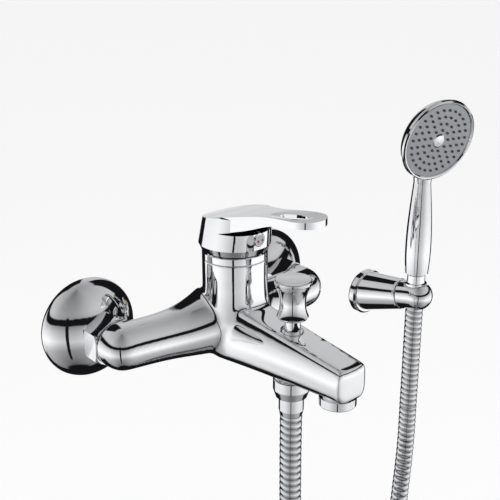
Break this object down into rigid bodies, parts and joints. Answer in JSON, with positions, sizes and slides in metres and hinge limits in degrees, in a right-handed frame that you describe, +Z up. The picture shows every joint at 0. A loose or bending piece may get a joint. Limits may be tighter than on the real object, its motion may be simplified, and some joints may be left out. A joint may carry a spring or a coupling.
{
  "type": "bath shower mixer",
  "caption": "Wall mounted single-lever bath mixer with pull-up diverter, flexible hose, hand shower and swivelling wall bracket.",
  "frame": {"origin": "in the wall's surface, midway between the hot and the cold inlet", "axes": "+Z up, the mixer stands out of the wall towards -Y, +X to the right of someone facing the wall"},
  "size_m": [0.3264, 0.1834, 0.4923],
  "materials": {
    "chrome_body": "polished",
    "chrome_inlets": "polished",
    "chrome_bracket": "polished",
    "chrome_hand_shower": "polished",
    "chrome_hose_ends": "polished",
    "hose_steel": "interlocked steel strip",
    "brass": "machined",
    "steel": "satin",
    "rubber": "matt",
    "ceramic": "lapped ceramic",
    "white_plastic": "moulded",
    "grey_plastic": "moulded",
    "index_white": "glossy, with a red and a blue dot",
    "face_grey": "satin metallised",
    "nozzle_silicone": "silicone",
    "tie_black": "moulded"
  },
  "bodies": {
    "mixer": {"aerator_housing": "chrome_body", "aerator_insert": "white_plastic", "aerator_seal": "rubber", "bracket_arm": "chrome_bracket", "bracket_base": "chrome_bracket", "bracket_plate": "steel", "cartridge_base": "grey_plastic", "cartridge_housing": "white_plastic", "cartridge_seals": "rubber", "check_valve": "white_plastic", "diverter_bonnet": "chrome_body", "diverter_spring": "steel", "fixed_ceramic_disc": "ceramic", "hose_coil": "hose_steel", "hose_ferrule_lower": "chrome_hose_ends", "hose_nut": "chrome_hose_ends", "hose_run_bracket": "hose_steel", "hose_run_mixer": "hose_steel", "hose_tail_lower": "brass", "hose_tie": "tie_black", "hose_washer": "rubber", "mixer_body": "chrome_body", "retaining_nut": "brass", "shower_nipple": "chrome_body", "swivel_screw": "steel", "trim_ring": "chrome_body", "union_nut_left": "chrome_inlets", "union_nut_right": "chrome_inlets", "union_washer_left": "rubber", "union_washer_right": "rubber", "wall_flange_left": "chrome_inlets", "wall_flange_right": "chrome_inlets", "wall_union_left": "brass", "wall_union_right": "brass"},
    "cartridge_turn": {"cartridge_driver": "grey_plastic", "pivot_pin": "steel"},
    "lever": {"lever_handle": "chrome_body", "lever_stem": "steel", "handle_screw": "steel", "index_button": "index_white"},
    "disc": {"moving_ceramic_disc": "ceramic", "disc_carrier": "grey_plastic"},
    "diverter": {"diverter_knob": "chrome_body", "diverter_spindle": "brass", "diverter_valve": "brass", "diverter_seal": "rubber"},
    "holder": {"swivel_head": "chrome_bracket", "holder_liner": "white_plastic"},
    "hand_shower": {"handset_body": "chrome_hand_shower", "handset_rim": "chrome_hand_shower", "flow_plate": "grey_plastic", "nozzle_mat": "nozzle_silicone", "handset_face": "face_grey", "handset_hub": "chrome_hand_shower", "handset_screw": "steel", "hose_ferrule_upper": "chrome_hose_ends", "hose_run_handset": "hose_steel"}
  },
  "joints": [
    {"name": "temperature", "type": "hinge", "parent": "mixer", "child": "cartridge_turn", "pos_m": [0, -0.0627, 0.045], "axis": [0, 0, 1], "range_deg": [-45, 45]},
    {"name": "lever_lift", "type": "hinge", "parent": "cartridge_turn", "child": "lever", "pos_m": [0, -0.0627, 0.045], "axis": [-1, 0, 0], "range_deg": [0, 22]},
    {"name": "disc_slide", "type": "slide", "parent": "cartridge_turn", "child": "disc", "axis": [0, -1, 0], "range_m": [0, 0.0058]},
    {"name": "diverter_pull", "type": "slide", "parent": "mixer", "child": "diverter", "axis": [0, 0, 1], "range_m": [0, 0.0075], "deforming": ["diverter_spring"]},
    {"name": "holder_swivel", "type": "hinge", "parent": "mixer", "child": "holder", "pos_m": [0.1905, 0, -0.047], "axis": [0, -0.9744, 0.225], "range_deg": [-50, 35]},
    {"name": "hand_shower_lift", "type": "slide", "parent": "holder", "child": "hand_shower", "axis": [0, 0, 1], "range_m": [0, 0.03]}
  ],
  "couplings": [
    {"joint": "disc_slide", "follows": "lever_lift", "m_per_rad": 0.01475}
  ]
}
